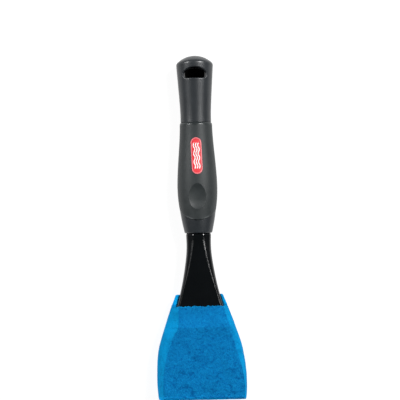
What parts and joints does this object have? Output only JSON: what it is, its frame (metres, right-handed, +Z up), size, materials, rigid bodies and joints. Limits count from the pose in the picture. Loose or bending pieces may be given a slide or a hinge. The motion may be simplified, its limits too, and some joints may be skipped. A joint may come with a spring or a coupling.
{
  "type": "aquarium scraper with foam head",
  "caption": "hand-held aquarium scraper: soft-grip handle with a hang hole, a flared black scraper and a blue foam pad that pulls off",
  "frame": {"origin": "middle of the length and width, on the surface that it lies on", "axes": "X across, Y along the handle with the hang hole at +Y and the foam at -Y, Z up out of the front face"},
  "size_m": [0.0706, 0.27, 0.0261],
  "materials": {
    "handle": "satin",
    "grip": "matte",
    "badge": "gloss",
    "badge_mark": "satin",
    "scraper": "gloss",
    "foam": "matte"
  },
  "bodies": {
    "handle": {"handle_front_shell": "handle", "handle_back_shell": "handle", "grip_sleeve": "grip", "badge_plate": "badge", "badge_waves": "badge_mark", "scraper_blade": "scraper"},
    "foam": {"foam_pad": "foam"}
  },
  "joints": [
    {"name": "foam_pull_off", "type": "slide", "parent": "handle", "child": "foam", "axis": [0, -1, 0], "range_m": [0, 0.095], "deforming": ["foam_pad"]}
  ]
}
